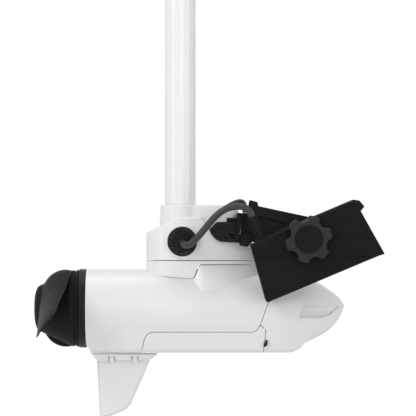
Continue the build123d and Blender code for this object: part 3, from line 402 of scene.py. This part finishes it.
# ---------------------------------------------------------------- leads
@dataclass
class Lead:
    """A round lead along one smooth curve."""

    name: str
    route: list[Point]
    radius: float
    finish: Finish
    sides: int = 28

    def centreline(self) -> list[Vector]:
        """Points along the smooth curve that the route's points steer.

        Returns:
            Closely spaced points in metres, from the gland on.
        """
        curve = bpy.data.curves.new(f"{self.name}_route", "CURVE")
        curve.dimensions = "3D"
        curve.resolution_u = 16
        spline = curve.splines.new("NURBS")
        spline.points.add(len(self.route) - 1)
        for knot, (x, y, z) in zip(spline.points, self.route):
            knot.co = (x * MM, y * MM, z * MM, 1.0)
        spline.order_u = 3
        spline.use_endpoint_u = True
        holder = bpy.data.objects.new(f"{self.name}_route", curve)
        bpy.context.scene.collection.objects.link(holder)
        line = bpy.data.meshes.new_from_object(holder)
        points = [vertex.co.copy() for vertex in line.vertices]
        bpy.data.meshes.remove(line)
        bpy.data.objects.remove(holder)
        bpy.data.curves.remove(curve)
        return points

    def tube(self, path: list[Vector]) -> bpy.types.Object:
        """Sweep a round section along the path without twisting it.

        Args:
            path: the centreline's points.

        Returns:
            The lead as one closed mesh.
        """
        rings = []
        ahead = (path[1] - path[0]).normalized()
        across = ahead.orthogonal().normalized()
        for place, point in enumerate(path):
            before = path[max(place - 1, 0)]
            after = path[min(place + 1, len(path) - 1)]
            tangent = (after - before).normalized()
            across = (across - tangent * across.dot(tangent)).normalized()
            up = tangent.cross(across)
            ring = []
            for step in range(self.sides):
                turn = math.tau * step / self.sides
                ring.append(point + (across * math.cos(turn) + up * math.sin(turn)) * self.radius * MM)
            rings.append(ring)
        return mesh_object(self.name, *skin(rings), self.finish)

    def build(self, node: str) -> tuple[bpy.types.Object, list[Vector], float]:
        """Make the lead in place of its packed tube.

        Args:
            node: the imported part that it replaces.

        Returns:
            The lead, its centreline and its length in metres.
        """
        path = self.centreline()
        length = sum((b - a).length for a, b in zip(path, path[1:]))
        piece = self.tube(path)
        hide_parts(node)
        log.info("%s: %.1f mm long, %.1f mm thick", self.name, length / MM, 2 * self.radius)
        return piece, path, length


@dataclass
class Leads:
    """The two leads that leave the gland: the sonar lead in front, the thinner one behind it.

    The sonar lead's route runs past the pod to the transducer.
    """

    sonar_route: list[Point] = field(
        default_factory=lambda: [
            (2.4, -33.2, -39.9),
            (3.2, -44.5, -42.2),
            (9.5, -53.0, -43.6),
            (19.5, -58.5, -34.0),
            (29.5, -61.8, -21.5),
            (38.5, -64.5, -11.2),
            (48.0, -66.8, -4.4),
            (58.5, -68.2, -2.0),
            (67.5, -69.0, -2.4),
            (73.6, -69.0, -7.2),
            (76.21, -69.0, -13.40),
        ]
    )
    guide_route: list[Point] = field(
        default_factory=lambda: [
            (9.0, -33.2, -42.1),
            (11.0, -40.0, -41.0),
            (16.8, -45.0, -36.6),
            (24.8, -48.0, -27.4),
            (33.2, -49.6, -17.4),
            (41.4, -49.8, -8.8),
            (50.2, -48.4, -1.9),
            (58.4, -45.0, 2.3),
            (64.4, -40.0, 3.6),
            (67.9, -34.6, 1.4),
            (68.8, -31.2, -3.4),
            (68.6, -30.2, -8.2),
        ]
    )

    bend_from: int = 3

    def build(self) -> None:
        """Make both leads and say what they are."""
        sonar = Lead("sonar_lead_jacket", self.sonar_route, 3.6, LEAD_JACKET)
        piece, path, length = sonar.build("sonar_lead")
        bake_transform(piece)
        guide = Lead("guide_lead_jacket", self.guide_route, 2.5, LEAD_JACKET, sides=22)
        piece, path, length = guide.build("guide_lead")
        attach(piece, "lower_unit")


# ---------------------------------------------------------------- sub-assemblies
@dataclass
class Shaft:
    """The white composite shaft and what is inside it."""

    finishes: dict[str, Finish] = field(
        default_factory=lambda: {
            "shaft_tube": WHITE_SHAFT,
            "shaft_harness": RUBBER,
            "harness_connector": BLACK_SATIN,
            "harness_bung": RUBBER,
        }
    )

    def build(self) -> None:
        """Dress the shaft."""
        dress(self.finishes)


@dataclass
class Pod:
    """The white pod at the shaft's foot, with the gland in its flank."""

    finishes: dict[str, Finish] = field(
        default_factory=lambda: {
            "pod_upper_shell": WHITE_PAINT,
            "pod_lower_clamp": WHITE_PAINT,
            "pod_screws": STAINLESS,
            "gland_nut": BLACK_SATIN,
            "gland_seal": RUBBER,
        }
    )

    def build(self) -> None:
        """Dress the pod."""
        dress(self.finishes)


@dataclass
class MotorBody:
    """The barrel, keel cover, nose and skeg with the motor inside them."""

    finishes: dict[str, Finish] = field(
        default_factory=lambda: {
            "motor_housing": WHITE_PAINT,
            "keel_cover": WHITE_PAINT,
            "keel_latch": BLACK_SATIN,
            "nose_cone": WHITE_PAINT,
            "nose_sonar_element": CERAMIC,
            "rear_end_bell": BLACK_SATIN,
            "rear_o_ring": RUBBER,
            "shaft_seal": RUBBER,
            "rear_bearing_outer_race": BEARING_STEEL,
            "rear_bearing_inner_race": BEARING_STEEL,
            "rear_bearing_balls": BEARING_STEEL,
            "front_bearing_outer_race": BEARING_STEEL,
            "front_bearing_inner_race": BEARING_STEEL,
            "front_bearing_balls": BEARING_STEEL,
            "front_bearing_plate": LAMINATION,
            "stator_core": LAMINATION,
            "stator_windings": COPPER,
            "rotor_core": LAMINATION,
            "rotor_magnets": MAGNET,
            "control_board": BOARD,
            "skeg": WHITE_PAINT,
            "skeg_screws": WHITE_PAINT,
        }
    )

    def build(self) -> None:
        """Dress the motor's body."""
        dress(self.finishes)


@dataclass
class Propeller:
    """The two-blade propeller and its drive."""

    finishes: dict[str, Finish] = field(
        default_factory=lambda: {
            "propeller": PROPELLER_NYLON,
            "drive_shaft": STAINLESS,
            "drive_pin": STAINLESS,
            "prop_washer": STAINLESS,
            "prop_nut": BLACK_SATIN,
            "hub_anode": ZINC,
        }
    )

    def build(self) -> None:
        """Dress the propeller."""
        dress(self.finishes)


@dataclass
class Bracket:
    """The bracket that holds the transducer beside the pod."""

    finishes: dict[str, Finish] = field(
        default_factory=lambda: {
            "bracket_base": BLACK_SATIN,
            "bracket_plate": BLACK_METAL,
            "bracket_arm": BLACK_METAL,
            "bracket_bolts": BLACK_METAL,
            "bracket_pivot_pin": BLACK_METAL,
            "arm_nut": BRASS,
        }
    )

    def build(self) -> None:
        """Dress the bracket."""
        dress(self.finishes)


@dataclass
class Transducer:
    """The tilting live-sonar transducer with its knob and boot."""

    finishes: dict[str, Finish] = field(
        default_factory=lambda: {
            "transducer_near_shell": BLACK_TEXTURED,
            "transducer_far_shell": BLACK_TEXTURED,
            "array_window": RUBBER,
            "array_elements": CERAMIC,
            "transducer_board": BOARD,
            "transducer_screws": STAINLESS,
            "strain_relief_boot": RUBBER,
            "clamp_knob": KNOB_PLASTIC,
            "knob_cap": BLACK_TEXTURED,
            "knob_bolt": STAINLESS,
            "knob_washer": STAINLESS,
        }
    )

    def build(self) -> None:
        """Dress the transducer."""
        dress(self.finishes)


# ---------------------------------------------------------------- main
def main() -> None:
    """Build the studio and every sub-assembly in order."""
    logging.basicConfig(level=logging.INFO, format="%(name)s: %(message)s")
    Studio().build()
    Leads().build()
    for part in (Shaft(), Pod(), MotorBody(), Propeller(), Bracket(), Transducer()):
        part.build()
        log.info("%s done", type(part).__name__)


if __name__ == "__main__":
    main()
